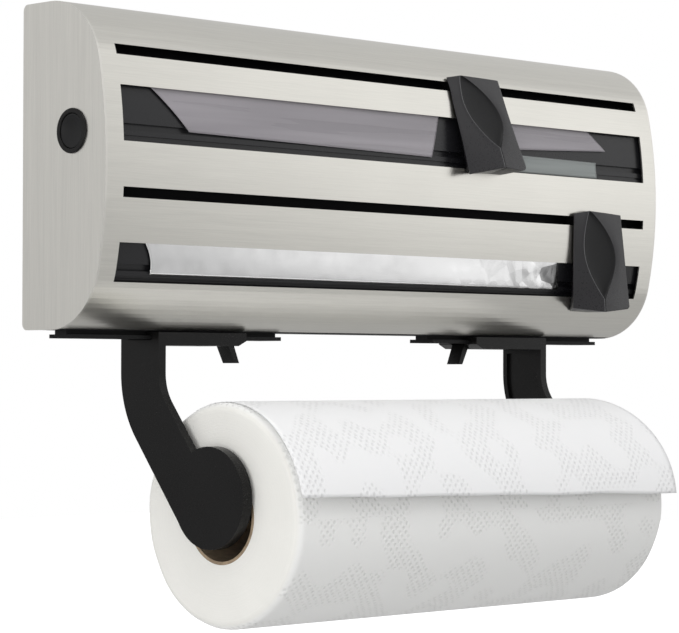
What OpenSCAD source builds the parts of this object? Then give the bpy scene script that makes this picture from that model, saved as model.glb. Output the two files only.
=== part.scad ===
// Wall dispenser for cling film and foil, with a paper roll holder under it.
// Right-handed frame in millimetres: +X to the right, +Z up, the wall is the plane y = 0 and the
// front faces -Y. The origin lies on the wall face, midway between the two wall screw holes.
// Inside place() every height is counted from the underside of the body.

/* [Body] */
// Width over the two end plates
body_w = 385; // [340:1:470]
// Height of the body
body_h = 147; // [140:1:180]
// Depth of the body from the wall to the middle of the front
body_d = 59; // [57:1:75]
// Radius of the long shallow curve of the front
front_r = 217; // [180:1:400]
// Radius that joins the front to the top and the underside
corner_r = 34; // [24:1:40]
// Thickness of the front sheet
sheet_t = 0.8; // [0.6:0.1:1]
// Thickness of each end plate
plate_t = 1.2; // [0.8:0.1:2]

/* [Windows and slots] */
// Half length of the windows and slots along the front
opening_half = 182; // [140:1:183]
// Height of the middle of the upper guide slot
upper_slot_z = 124; // [122:0.5:125]
// Height of the middle of the lower guide slot
lower_slot_z = 60.5; // [58:0.5:62]
// Height of each guide slot
slot_h = 4.7; // [4:0.1:5.6]
// Height of the bottom edge of the upper window
upper_window_z = 83; // [82:0.5:85]
// Height of the bottom edge of the lower window
lower_window_z = 21; // [20:0.5:23]
// Height of the upper window
upper_window_h = 25; // [20:0.5:27]
// Height of the lower window
lower_window_h = 17.4; // [15:0.2:21]

/* [Frame] */
// Thickness of the back plate
back_t = 2.5; // [2:0.1:4]
// Thickness of each cheek
cheek_t = 4; // [3:0.5:6]
// Distance from the inside of an end plate to the outside of a cheek
cheek_gap = 13.3; // [13:0.1:18]
// Height of the wall screw holes above the underside of the body
wall_screw_z = 112; // [80:1:118]
// Distance between the two wall screw holes
wall_screw_span = 300; // [200:1:320]
// Radius of each wall screw hole
wall_screw_r = 2.5; // [1.5:0.1:3.5]
// Radius of the cover's hinge studs
hinge_r = 2; // [1.5:0.1:2.5]
// Setback of the hinge axis from the wall
hinge_back = 7.5; // [7:0.1:9]
// Drop of the hinge axis below the top of the body
hinge_drop = 5.5; // [5:0.1:6]

/* [Rolls] */
// Radius of the full film roll
film_r = 21; // [16:0.5:22]
// Radius of the full foil roll
foil_r = 19; // [15:0.5:21]
// Outer radius of the film and foil cores
small_core_r = 14.5; // [10:0.5:14.5]
// Length of the film and foil rolls
small_roll_len = 300; // [250:1:308]
// Radius of the paper roll
paper_r = 51.3; // [35:0.1:60]
// Length of the paper roll
paper_len = 257; // [220:1:262]
// Inner radius of the paper roll's core
paper_core_r = 20.5; // [18:0.5:24]
// Wall of every cardboard core
core_t = 1.5; // [1:0.1:2]

/* [Arms] */
// Width of an arm
arm_w = 26.6; // [22:0.1:32]
// Thickness of an arm
arm_t = 4.4; // [3:0.1:6]
// Lean of the lower part of an arm from the vertical, in degrees
arm_lean = 38.5; // [25:0.5:45]
// Radius of the inside of the arm's bend
elbow_r = 22; // [15:0.5:30]
// Length of the straight leaning part of an arm
arm_run = 51.5; // [40:0.5:60]
// Radius of the hub disc at the end of an arm
disc_r = 23.2; // [20:0.1:26]
// Radius of the boss that holds the paper core
boss_r = 12; // [9:0.5:14]
// Length of that boss
boss_len = 18; // [10:1:25]
// Distance from the middle to the inner end of each rail
rail_in = 53.5; // [40:0.5:70]
// Distance from the middle to the outer end of each rail
rail_out = 183; // [160:1:186]
// Width of a rail's flange
rail_w = 16; // [12:0.5:18]
// Travel of each arm outwards from the loaded roll
arm_travel = 46; // [20:1:46]

/* [Cutters] */
// Width of a cutter at its top
cutter_w = 37.4; // [30:0.2:42]
// Place of the middle of the upper cutter's top along the front
upper_cutter_x = 52; // [-140:1:140]
// Place of the middle of the lower cutter's top along the front
lower_cutter_x = 141; // [-140:1:142]
// Height of the upper cutter below the middle of its slot
upper_cutter_drop = 42.5; // [41:0.5:44]
// Height of the lower cutter below the middle of its slot
lower_cutter_drop = 46.5; // [41:0.5:47]
// How far the upper cutter's bottom stands out from the front
upper_cutter_proud = 12.5; // [8:0.5:15]
// How far the lower cutter's bottom stands out from the front
lower_cutter_proud = 17; // [12:0.5:20]

/* [Buttons] */
// Radius of the button's bezel
bezel_r = 10.1; // [9:0.1:12]
// Radius of the button
button_r = 7.6; // [6:0.1:7.7]
// Travel of a button
button_travel = 3; // [2:0.1:3.2]
// Distance of the buttons from the wall
button_y = 36; // [34:0.5:38]
// Height of the buttons above the underside of the body
button_z = 88; // [84:0.5:92]

/* [Fits] */
// Gap of a running fit, on the radius
run_gap = 0.06; // [0.03:0.01:0.1]
// Gap of a sliding fit, on each side
slide_gap = 0.3; // [0.2:0.05:0.4]
// Gap between neighbouring parts that swing past each other
swing_gap = 0.5; // [0.4:0.1:1]

/* [Hidden] */
$fn = 64;
LEFT = -1;
RIGHT = 1;

steel = [0.78, 0.77, 0.74];
spring_steel = [0.6, 0.6, 0.62];
black = [0.1, 0.1, 0.11];
dark_grey = [0.2, 0.2, 0.21];
cardboard = [0.62, 0.48, 0.34];
white_paper = [0.95, 0.95, 0.94];
clear_film = [0.72, 0.71, 0.75];
bright_foil = [0.86, 0.87, 0.88];

// outline of the body, seen from its end
mid_z = body_h / 2;
front_cy = front_r - body_d;
corner_rise = mid_z - corner_r;
corner_cy = front_cy - sqrt(pow(front_r - corner_r, 2) - pow(corner_rise, 2));
join_angle = atan2(corner_rise, front_cy - corner_cy);
join_rise = front_r * sin(join_angle);

// the cover
plate_back = -1;
plate_corner = 3;
plate_in = body_w / 2 - plate_t;
sheet_top_end = -4;
sheet_low_end = -27;
hinge_y = -hinge_back;
hinge_z = body_h - hinge_drop;
guide_front = sheet_t;
guide_back = 8;
guide_wall = 1.5;
guide_half_h = 9;
plate_front = 2.4;
plate_rear = 4.6;
window_lap = 5;
cutter_off = 0.7;
cutter_over = 4.5;
cutter_lean = 3;
grip_r = 24;
grip_half_w = 9.8;
grip_u = 19.6;
grip_share = 0.41;
grip_deep = 1.1;
upper_grip_lean = 22;
lower_grip_lean = 12;
groove_z = 5.1;
groove_h = 3;
groove_deep = 1.5;
film_front = 1.2;
film_rear = 1.7;

// the frame
cheek_out = plate_in - cheek_gap;
cheek_in = cheek_out - cheek_t;
cheek_inset = 9;
cheek_top = 134;
base_top = 2.4;
base_low = 0.2;
base_front = sheet_low_end + 1;
lug_r = hinge_drop - sheet_t - swing_gap;
trough_t = 1.5;
roll_y = -26;
film_z = upper_window_z + 17;
foil_z = lower_window_z + 13;
film_x = -10;
foil_x = -15;

// rails and arms
rail_y = -16.5;
neck_w = 8;
neck_low = -1.8;
flange_low = -3.6;
floor_low = -6.4;
arm_out = paper_len / 2 + 7.6;
carriage_len = 55;
carriage_in = arm_out - carriage_len;
elbow_start = 19;
elbow_cy = rail_y - arm_w / 2 - elbow_r;
disc_t = arm_t + 1.1;
disc_place = elbow_r + arm_w - disc_r + 0.25;
hub_y = elbow_cy + disc_place * cos(arm_lean) - arm_run * sin(arm_lean);
hub_z = -elbow_start - disc_place * sin(arm_lean) - arm_run * cos(arm_lean);
stub_r = 4;
rim_w = 2.6;
channel_deep = 1.8;
lever_w = 8.3;
lever_top = -4.1;
lever_low = -6.1;
pivot_x = carriage_in + 17;
pivot_z = (lever_top + lever_low) / 2;
pin_r = 0.7;
core_hang = 0.2;
paper_z = hub_z - (paper_core_r - boss_r - core_hang);

// ---- drawing helpers ----

// lifts a part from the underside of the body to the row frame
module place() {
    translate([0, 0, -wall_screw_z]) children();
}

// draws on the left, or mirrored on the right
module on_side(side) {
    if (side == RIGHT) mirror([1, 0, 0]) children();
    else children();
}

// extrudes an outline of [y, z] points along X
module along_x(x0, x1) {
    translate([x0, 0, 0]) rotate([90, 0, 90]) linear_extrude(x1 - x0) children();
}

// extrudes an outline of [x, z] points from y1 forwards to y0
module along_y(y0, y1) {
    translate([0, y1, 0]) rotate([90, 0, 0]) linear_extrude(y1 - y0) children();
}

// a cylinder along X
module rod_x(r, x0, x1, y, z) {
    translate([x0, y, z]) rotate([0, 90, 0]) cylinder(r = r, h = x1 - x0);
}

// a box between two corners
module block(a, b) {
    translate(a) cube(b - a);
}

// points along an arc
function arc(c, r, a0, a1, n) =
    [for (i = [0:n]) c + r * [cos(a0 + (a1 - a0) * i / n), sin(a0 + (a1 - a0) * i / n)]];

// outline of the body set in by t, with its back at y = back and round back corners
function outline(t, back, round_r) = concat(
    arc([back - round_r, body_h - t - round_r], round_r, 0, 90, 6),
    arc([corner_cy, body_h - corner_r], corner_r - t, 90, 180 - join_angle, 16),
    arc([front_cy, mid_z], front_r - t, 180 - join_angle, 180 + join_angle, 24),
    arc([corner_cy, corner_r], corner_r - t, 180 + join_angle, 270, 16),
    arc([back - round_r, t + round_r], round_r, 270, 360, 6));

// the part of a skin between two insets and two heights, at the front only
module skin_band(t0, t1, z0, z1) {
    intersection() {
        difference() {
            polygon(outline(t0, plate_back, plate_corner));
            polygon(outline(t1, plate_back, plate_corner));
        }
        translate([-2 * body_d, z0]) square([2 * body_d + corner_cy - 2, z1 - z0]);
    }
}

// y of the outer face of the front at a height
function skin_y(z) = abs(z - mid_z) <= join_rise
    ? front_cy - sqrt(pow(front_r, 2) - pow(z - mid_z, 2))
    : corner_cy - sqrt(pow(corner_r, 2) - pow(abs(z - mid_z) - corner_rise, 2));

// a wire coil along X, swept round a helix
module coil_x(x0, x1, r, wire_r, turns) {
    sides = 8;
    per_turn = 18;
    rings = turns * per_turn;
    function ring(i) = let (a = 360 * i / per_turn, x = x0 + (x1 - x0) * i / rings)
        [for (s = [0:sides - 1]) let (b = 360 * s / sides, q = r + wire_r * cos(b))
            [x + wire_r * sin(b), q * cos(a), q * sin(a)]];
    points = [for (i = [0:rings]) each ring(i)];
    walls = [for (i = [0:rings - 1]) for (s = [0:sides - 1]) let (n = (s + 1) % sides)
        [i * sides + s, (i + 1) * sides + s, (i + 1) * sides + n, i * sides + n]];
    first = [for (s = [0:sides - 1]) s];
    last = [for (s = [0:sides - 1]) rings * sides + sides - 1 - s];
    polyhedron(points, concat([first, last], walls), convexity = 10);
}

// ---- the frame on the wall ----

module back_plate() {
    pocket_w = 46;
    color(black) place() difference() {
        block([-cheek_out, -back_t, base_low], [cheek_out, 0, cheek_top]);
        for (x = [-1, 1] * wall_screw_span / 2) translate([x, 0, wall_screw_z]) rotate([90, 0, 0]) {
            translate([0, 0, -1]) cylinder(r = wall_screw_r, h = back_t + 2);
            translate([0, 0, back_t - 0.8]) cylinder(r = 2 * wall_screw_r, h = 2);
        }
        // pockets in the wall side leave a frame of ribs
        for (i = [-2.5:2.5]) translate([i * (pocket_w + 6) - pocket_w / 2, -1.1, 24])
            cube([pocket_w, 2, wall_screw_z - 40]);
        frame_screw_shapes(run_gap);
    }
}

module cheek_shape() {
    intersection() {
        polygon(outline(cheek_inset, -back_t, 0.01));
        translate([-body_d, base_top]) square([body_d - back_t, cheek_top - base_top]);
    }
    translate([hinge_y, hinge_z]) circle(r = lug_r);
    translate([hinge_y - lug_r, cheek_top - 1]) square([2 * lug_r, hinge_z - cheek_top + 1]);
}

module cheek(side) {
    color(black) place() on_side(side) difference() {
        union() {
            along_x(-cheek_out, -cheek_in) cheek_shape();
            rod_x(lug_r, -plate_in + swing_gap, -cheek_out, hinge_y, hinge_z);
        }
        rod_x(hinge_r + run_gap, -body_w / 2, -cheek_in + 1, hinge_y, hinge_z);
        // room for the latch to bend inwards
        block([-cheek_out - 1, -latch_front - 2, button_z - 33],
            [-cheek_in + 1, -button_y + 9, button_z + 17]);
        // lightening hole behind the rolls
        block([-cheek_out - 1, -20, 40], [-cheek_in + 1, -10, 74]);
        frame_screw_shapes(0);
    }
}

// four countersunk screws through the back plate into the cheeks
module frame_screw_shapes(gap) {
    for (x = [-1, 1] * (cheek_in + cheek_out) / 2) for (z = [14, cheek_top - 10])
        translate([x, 0, z]) rotate([90, 0, 0]) {
            translate([0, 0, 0.3]) cylinder(r = 1.1 + gap, h = 11.7);
            translate([0, 0, gap > 0 ? -0.5 : 0.3]) cylinder(r = 2 + gap, h = gap > 0 ? 1.8 : 1);
        }
}

module frame_screws() {
    color(spring_steel) place() frame_screw_shapes(0);
}

// a curved cradle under a roll with a web to the back plate
module trough(roll_r, z) {
    inner = roll_r + slide_gap;
    color(dark_grey) place() along_x(-cheek_in + slide_gap, cheek_in - slide_gap) union() {
        intersection() {
            translate([roll_y, z]) difference() {
                circle(r = inner + trough_t);
                circle(r = inner);
            }
            translate([roll_y - roll_r - 3, z - roll_r - 4]) square([2 * roll_r + 6, roll_r - 4]);
        }
        difference() {
            translate([roll_y + 4, z - inner - trough_t])
                square([-back_t - roll_y - 4, 2 * trough_t]);
            translate([roll_y, z]) circle(r = inner);
        }
    }
}

module base_plate() {
    color(black) place() difference() {
        block([-plate_in + 1, base_front, base_low], [plate_in - 1, -back_t, base_top]);
        rail_screw_shapes(0);
    }
}

module rail_section() {
    translate([rail_y - neck_w / 2, neck_low]) square([neck_w, base_low - neck_low]);
    translate([rail_y - rail_w / 2, flange_low]) square([rail_w, neck_low - flange_low]);
}

// four countersunk screws up through the rails into the base plate
module rail_screw_shapes(gap) {
    for (s = [-1, 1]) for (x = [rail_in + 10, rail_out - 10])
        translate([s * x, rail_y, flange_low - gap]) {
            cylinder(r = 1.2 + gap, h = base_top - 0.3 - flange_low + gap);
            cylinder(r1 = 2.4 + gap, r2 = 1.2 + gap, h = 1.2 + gap);
        }
}

module rail(side) {
    color(black) place() on_side(side) difference() {
        along_x(-rail_out, -rail_in) rail_section();
        rail_screw_shapes(run_gap);
    }
}

module rail_screws() {
    color(spring_steel) place() rail_screw_shapes(0);
}

latch_x = cheek_out + 2;
latch_t = 0.8;
latch_back = button_y - 6;
latch_front = button_y + 9;
hook_z = button_z - 28;

// spring tongue riveted to the cheek; its hook holds the cover and the button bends it inwards
module latch(side) {
    foot_z = button_z + 20;
    color(spring_steel) place() on_side(side) {
        block([-latch_x - latch_t, -button_y - 6, hook_z], [-latch_x, -latch_back, foot_z + 8]);
        block([-latch_x, -button_y - 6, foot_z], [-cheek_out, -latch_back, foot_z + 8]);
        block([-latch_x - latch_t, -latch_front, hook_z], [-latch_x, -latch_back, hook_z + 8]);
        block([-latch_x - 6, -latch_front, hook_z],
            [-latch_x - latch_t, -latch_front + 2, hook_z + 8]);
    }
}

// ---- the swinging cover ----

module front_cover() {
    color(steel) place() difference() {
        along_x(-plate_in, plate_in) difference() {
            polygon(outline(0, plate_back, 0.01));
            polygon(outline(sheet_t, plate_back + 2, 0.01));
            translate([sheet_top_end, mid_z]) square([body_d, body_h]);
            translate([sheet_low_end, -1]) square([body_d, mid_z + 2]);
        }
        slot_cut(upper_slot_z);
        slot_cut(lower_slot_z);
        window_cut(upper_window_z, upper_window_h);
        window_cut(lower_window_z, lower_window_h);
    }
}

module slot_cut(z) {
    block([-opening_half, -2 * body_d, z - slot_h / 2], [opening_half, corner_cy, z + slot_h / 2]);
}

module window_cut(z, h) {
    block([-opening_half, -2 * body_d, z], [opening_half, corner_cy, z + h]);
}

// D-shaped end plate with the button's hole and the catch that the latch holds
module end_plate(side) {
    catch_front = latch_front - 2 - slide_gap;
    color(steel) place() on_side(side) {
        difference() {
            along_x(-body_w / 2, -plate_in) polygon(outline(0, plate_back, plate_corner));
            rod_x(bezel_r - 1.3, -body_w / 2 - 1, -plate_in + 1, -button_y, button_z);
            rod_x(hinge_r * 0.7, -body_w / 2 + plate_t / 2, -plate_in + 1, hinge_y, hinge_z);
        }
        block([-plate_in, -catch_front, hook_z], [-latch_x - 3.5, -catch_front + 3, hook_z + 8]);
    }
}

// studs on the end plates that turn in the cheeks
module hinge_studs() {
    color(spring_steel) place() for (side = [LEFT, RIGHT]) on_side(side) {
        rod_x(hinge_r, -plate_in, -cheek_in, hinge_y, hinge_z);
        rod_x(hinge_r * 0.7, -body_w / 2 + plate_t / 2, -plate_in, hinge_y, hinge_z);
    }
}

// black plate behind a window, with the groove that the blade runs in
module window_plate(z, h) {
    color(dark_grey) place() along_x(-plate_in, plate_in)
        difference() {
            skin_band(plate_front, plate_rear, z - window_lap, z + h + window_lap);
            skin_band(plate_front - 1, plate_front + groove_deep, z + groove_z,
                z + groove_z + groove_h);
            skin_band(plate_front - 1, plate_front + 0.6, z + 1.6, z + 2.8);
        }
}

// channel behind a slot that holds the cutter's shoe
module slot_guide(z) {
    lip = guide_half_h - 3.6;
    color(black) place() along_x(-plate_in, plate_in) union() {
        skin_band(guide_back - guide_wall, guide_back, z - guide_half_h, z + guide_half_h);
        skin_band(guide_front, guide_back, z + lip, z + guide_half_h);
        skin_band(guide_front, guide_back, z - guide_half_h, z - lip);
    }
}

// ring and guide sleeve of a button, fixed in the end plate
module bezel(side) {
    face = body_w / 2;
    color(black) place() on_side(side) difference() {
        union() {
            rod_x(bezel_r, -face - 0.9, -face, -button_y, button_z);
            rod_x(bezel_r - 1.3 - run_gap, -face, -face + 10.1, -button_y, button_z);
        }
        rod_x(button_r + slide_gap, -face - 2, -face + 8.9, -button_y, button_z);
        rod_x(3.1, -face - 2, -face + 12, -button_y, button_z);
    }
}

module button(side) {
    face = body_w / 2 + 0.4;
    dish_r = 16;
    color(black) place() on_side(side) difference() {
        union() {
            rod_x(button_r, -face, -face + 3, -button_y, button_z);
            rod_x(2.9, -face + 3, -latch_x - latch_t - 0.6, -button_y, button_z);
        }
        translate([-face - dish_r + 1.6, -button_y, button_z]) sphere(r = dish_r);
    }
}

module button_spring(side) {
    face = body_w / 2;
    color(spring_steel) place() on_side(side)
        translate([0, -button_y, button_z]) coil_x(-face + 3.1, -face + 8.4, 5, 0.35, 5);
}

// ---- the cutters ----

function mix(a, b, share) = a + (b - a) * share;

// y of a cutter's left edge, ridge and right edge at a share of the way down
function left_y(top, low, proud, share) =
    mix(skin_y(top) - 1.7, skin_y(low) - 0.55 * proud, share);
function ridge_y(top, low, proud, share) = mix(skin_y(top) - 3, skin_y(low) - proud, share);
function right_y(top, low, proud, share) = mix(skin_y(top) - 2.5, skin_y(low) - proud, share);
function ridge_u(share) = 10 + 9 * share;

// five points of a cutter's outline at a share of the way down, from its back just off the
// front sheet, round its left edge, ridge and right edge
function cutter_level(top, low, proud, share) =
    let (z = mix(top, low, share), back = skin_y(z) - cutter_off, x = cutter_lean * share) [
        [x, back, z],
        [x, min(left_y(top, low, proud, share), back - 0.4), z],
        [x + ridge_u(share), min(ridge_y(top, low, proud, share), back - 1.4), z],
        [x + cutter_w, min(right_y(top, low, proud, share), back - 1), z],
        [x + cutter_w, back, z]];

// the shell of a cutter from its top down to its bottom
module cutter_shell(x, slot_z, drop, proud) {
    top = slot_z + cutter_over;
    low = slot_z - drop;
    shares = [0, 0.1, 0.22, 0.5, 0.72, 0.88, 1];
    last = 5 * (len(shares) - 1);
    sides = [for (i = [0:5:last - 5], j = [0:4])
        let (a = i + j, b = i + (j + 1) % 5)
        each [[a, b, b + 5], [a, b + 5, a + 5]]];
    translate([x - cutter_w / 2, 0, 0]) polyhedron(
        [for (share = shares) each cutter_level(top, low, proud, share)],
        concat([[4, 3, 2, 1, 0]], sides, [[for (j = [0:4]) last + j]]));
}

// almond shape of the finger grip, from d0 to d1 behind the ridge that it lies across
module grip_prism(x, slot_z, drop, proud, lean, gap, d0, d1) {
    top = slot_z + cutter_over;
    low = slot_z - drop;
    side_r = grip_r - gap;
    half_w = grip_half_w - gap;
    tilt = atan2(ridge_y(top, low, proud, 0) - ridge_y(top, low, proud, 1), top - low);
    translate([x - cutter_w / 2 + grip_u, ridge_y(top, low, proud, grip_share),
        mix(top, low, grip_share)]) rotate([-tilt, 0, -2]) rotate([0, -lean, 0])
        along_y(d0, d1) intersection() {
            translate([half_w - side_r, 0]) circle(r = side_r);
            translate([side_r - half_w, 0]) circle(r = side_r);
        }
}

module cutter_body(x, slot_z, drop, proud, lean, window_z) {
    color(dark_grey) place() difference() {
        cutter_shell(x, slot_z, drop, proud);
        grip_prism(x, slot_z, drop, proud, lean, 0, -20, grip_deep);
        neck_shape(x, slot_z);
        blade_shape(x, window_z);
    }
}

module cutter_grip(x, slot_z, drop, proud, lean) {
    color(black) place()
        grip_prism(x, slot_z, drop, proud, lean, slide_gap / 2, grip_deep - 0.6, grip_deep);
}

// thin blade that reaches through the window into the groove
module blade_shape(x, window_z) {
    z = window_z + groove_z + groove_h / 2;
    along_x(x - 6, x + 6) skin_band(-1.4, plate_front + groove_deep - 0.5, z - 0.2, z + 0.2);
}

module cutter_blade(x, window_z) {
    color(spring_steel) place() blade_shape(x, window_z);
}

// neck that passes through the guide slot into the back of the cutter
module neck_shape(x, slot_z) {
    half = slot_h / 2 - slide_gap;
    along_x(x - 12, x + 12) skin_band(-1.2, guide_front + slide_gap, slot_z - half, slot_z + half);
}

// inner shoe that slides in the channel, with the neck that passes through the slot
module cutter_shoe(x, slot_z) {
    half = guide_half_h - 3.6 - slide_gap;
    color(black) place() {
        along_x(x - 15, x + 15)
            skin_band(guide_front + slide_gap, guide_back - guide_wall - slide_gap,
                slot_z - half, slot_z + half);
        neck_shape(x, slot_z);
    }
}

// ---- the paper holder ----

// side view of an arm, set in by t
module arm_shape(t) {
    c = [elbow_cy, -elbow_start];
    top = floor_low + 1;
    near = elbow_r + t;
    far = elbow_r + arm_w - t;
    run = arm_run * [-sin(arm_lean), -cos(arm_lean)];
    polygon(concat(
        [[elbow_cy + near, top]],
        arc(c, near, 0, -arm_lean, 12),
        [for (r = [near, far]) c + r * [cos(arm_lean), -sin(arm_lean)] + run],
        arc(c, far, -arm_lean, 0, 12),
        [[elbow_cy + far, top]]));
}

module carriage_section() {
    side = slide_gap;
    difference() {
        translate([rail_y - arm_w / 2, floor_low]) square([arm_w, -0.3 - floor_low]);
        translate([rail_y - rail_w / 2 - side, flange_low - side])
            square([rail_w + 2 * side, neck_low - flange_low + 2 * side]);
        translate([rail_y - neck_w / 2 - side, neck_low]) square([neck_w + 2 * side, 5]);
    }
}

// arm with its carriage and hub disc in one moulding
module arm(side) {
    color(black) place() on_side(side) difference() {
        union() {
            difference() {
                along_x(-arm_out, -arm_out + arm_t) arm_shape(0);
                along_x(-arm_out + arm_t - channel_deep, -arm_out + arm_t + 1)
                    intersection() {
                        arm_shape(rim_w);
                        translate([-200, -200]) square([200, 200 + floor_low - 2]);
                    }
            }
            rod_x(disc_r, -arm_out, -arm_out + disc_t, hub_y, hub_z);
            intersection() {
                along_x(-arm_out, -carriage_in) carriage_section();
                along_y(rail_y - arm_w, 5) polygon([[-arm_out, floor_low],
                    [-carriage_in - 5, floor_low], [-carriage_in, floor_low + 2.4],
                    [-carriage_in, 0], [-arm_out, 0]]);
            }
        }
        rod_x(stub_r + run_gap, -arm_out + 1.5, -arm_out + disc_t + 1, hub_y, hub_z);
        leaf_shape(0.1);
        // pocket of the release lever and the holes of its pin
        block([-pivot_x - 3, rail_y - lever_w / 2 - 0.5, floor_low - 1],
            [-carriage_in + 1, rail_y + lever_w / 2 + 0.5, flange_low]);
        lever_pin_shape(run_gap);
    }
}

// boss that carries the paper core, with its stub in the disc
module hub(side) {
    face = -arm_out + disc_t;
    color(dark_grey) place() on_side(side) {
        rod_x(stub_r, -arm_out + 1.6, face, hub_y, hub_z);
        rod_x(boss_r, face, face + boss_len - 3, hub_y, hub_z);
        translate([face + boss_len - 3, hub_y, hub_z]) rotate([0, 90, 0])
            cylinder(r1 = boss_r, r2 = boss_r - 2.5, h = 3);
    }
}

module lever_pin_shape(gap) {
    translate([-pivot_x, rail_y + lever_w / 2 + 3, pivot_z]) rotate([90, 0, 0])
        cylinder(r = pin_r + gap, h = lever_w + 6);
}

module lever_pin(side) {
    color(spring_steel) place() on_side(side) lever_pin_shape(0);
}

// finger lever whose pad grips the rail
module lever(side) {
    tip = -carriage_in;
    color(black) place() on_side(side) difference() {
        along_y(rail_y - lever_w / 2, rail_y + lever_w / 2) polygon([
            [-pivot_x - 2, lever_top], [-pivot_x - 2, lever_low], [tip - 3.4, lever_low],
            [tip + 0.8, floor_low - 8], [tip + 3.8, floor_low - 8], [tip - 0.4, lever_top],
            [tip - 4, lever_top], [tip - 4, lever_top + 0.35], [tip - 9, lever_top + 0.35],
            [tip - 9, lever_top]]);
        lever_pin_shape(run_gap);
    }
}

// leaf let into the carriage, under the lever, that presses its pad against the rail
module leaf_shape(gap) {
    block([-pivot_x - 9 - gap, rail_y - 3 - gap, floor_low - gap],
        [-carriage_in - 7, rail_y + 3 + gap, lever_low - 0.02]);
}

module lever_spring(side) {
    color(spring_steel) place() on_side(side) leaf_shape(0);
}

// ---- what it dispenses ----

module tube_x(r_out, r_in, len, x, y, z) {
    difference() {
        rod_x(r_out, x - len / 2, x + len / 2, y, z);
        rod_x(r_in, x - len / 2 - 1, x + len / 2 + 1, y, z);
    }
}

module paper_roll() {
    color(white_paper) place()
        tube_x(paper_r, paper_core_r + core_t + 0.02, paper_len, 0, hub_y, paper_z);
}

module paper_core() {
    color(cardboard) place() tube_x(paper_core_r + core_t, paper_core_r, paper_len, 0, hub_y, paper_z);
}

// free end of the paper, lying off the roll towards its lower edge
module paper_tail() {
    lift = 3;
    r = paper_r + run_gap;
    color(white_paper) place() along_x(-paper_len / 2, paper_len / 2) intersection() {
        difference() {
            translate([hub_y - lift, paper_z + 1.5]) circle(r = r + 1.5);
            translate([hub_y - lift, paper_z + 1.5]) circle(r = r + 0.8);
            translate([hub_y, paper_z]) circle(r = r);
        }
        translate([hub_y - 2 * paper_r, paper_z + 8]) square([2 * paper_r - 8, 2 * paper_r]);
    }
}

module film_roll() {
    color(clear_film) place()
        tube_x(film_r, small_core_r + 0.02, small_roll_len, film_x, roll_y, film_z);
}

module film_core() {
    color(cardboard) place()
        tube_x(small_core_r, small_core_r - core_t, small_roll_len + 4, film_x, roll_y, film_z);
}

module foil_roll() {
    color(bright_foil) place()
        tube_x(foil_r, small_core_r + 0.02, small_roll_len, foil_x, roll_y, foil_z);
}

module foil_core() {
    color(cardboard) place()
        tube_x(small_core_r, small_core_r - core_t, small_roll_len + 4, foil_x, roll_y, foil_z);
}

// web that lies over a window plate, cut to an outline of [x, z] points above the window's foot
module web(window_z, window_h, points) {
    intersection() {
        along_x(-opening_half, opening_half)
            skin_band(film_front, film_rear, window_z, window_z + window_h + 3);
        translate([0, 0, window_z]) along_y(-2 * body_d, corner_cy) polygon(points);
    }
}

// film over the upper window, and the strip that the blade has cut off
module film_tail() {
    left = film_x - small_roll_len / 2;
    right = film_x + small_roll_len / 2;
    cut_x = upper_cutter_x;
    high = upper_window_h + 3;
    color(clear_film) place() {
        web(upper_window_z, upper_window_h, [[left, high], [left, 24], [left + 20, 6],
            [left + 60, 5], [cut_x - 14, 4.6], [cut_x - 8, 12], [right + 12, 15.3],
            [right, 24], [right, high]]);
        web(upper_window_z, upper_window_h, [[cut_x + 8, 0.3], [right + 4, 0.3],
            [right + 4, 8.7], [cut_x + 8, 8.9]]);
    }
}

module foil_tail() {
    left = foil_x - small_roll_len / 2;
    right = min(foil_x + small_roll_len / 2, lower_cutter_x - 9);
    high = lower_window_h + 3;
    color(bright_foil) place() web(lower_window_z, lower_window_h,
        [[left, high], [left, 17], [left + 6, 4], [right, 4], [right, high]]);
}

back_plate();
cheek(LEFT);  // cheek_left
cheek(RIGHT);  // cheek_right
trough(film_r, film_z);  // trough_upper
trough(foil_r, foil_z);  // trough_lower
base_plate();
rail(LEFT);  // rail_left
rail(RIGHT);  // rail_right
rail_screws();
frame_screws();
latch(LEFT);  // latch_left
latch(RIGHT);  // latch_right
front_cover();
end_plate(LEFT);  // end_plate_left
end_plate(RIGHT);  // end_plate_right
hinge_studs();
window_plate(upper_window_z, upper_window_h);  // window_plate_upper
window_plate(lower_window_z, lower_window_h);  // window_plate_lower
slot_guide(upper_slot_z);  // slot_guide_upper
slot_guide(lower_slot_z);  // slot_guide_lower
bezel(LEFT);  // bezel_left
bezel(RIGHT);  // bezel_right
button(LEFT);  // button_left
button(RIGHT);  // button_right
button_spring(LEFT);  // button_spring_left
button_spring(RIGHT);  // button_spring_right
cutter_body(upper_cutter_x, upper_slot_z, upper_cutter_drop, upper_cutter_proud, upper_grip_lean,  // cutter_upper_body
        upper_window_z);
cutter_grip(upper_cutter_x, upper_slot_z, upper_cutter_drop, upper_cutter_proud, upper_grip_lean);  // cutter_upper_grip
cutter_blade(upper_cutter_x, upper_window_z);  // cutter_upper_blade
cutter_shoe(upper_cutter_x, upper_slot_z);  // cutter_upper_shoe
cutter_body(lower_cutter_x, lower_slot_z, lower_cutter_drop, lower_cutter_proud, lower_grip_lean,  // cutter_lower_body
        lower_window_z);
cutter_grip(lower_cutter_x, lower_slot_z, lower_cutter_drop, lower_cutter_proud, lower_grip_lean);  // cutter_lower_grip
cutter_blade(lower_cutter_x, lower_window_z);  // cutter_lower_blade
cutter_shoe(lower_cutter_x, lower_slot_z);  // cutter_lower_shoe
arm(LEFT);  // arm_left
arm(RIGHT);  // arm_right
hub(LEFT);  // hub_left
hub(RIGHT);  // hub_right
lever(LEFT);  // lever_left
lever(RIGHT);  // lever_right
lever_pin(LEFT);  // lever_pin_left
lever_pin(RIGHT);  // lever_pin_right
lever_spring(LEFT);  // lever_spring_left
lever_spring(RIGHT);  // lever_spring_right
paper_roll();
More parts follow.
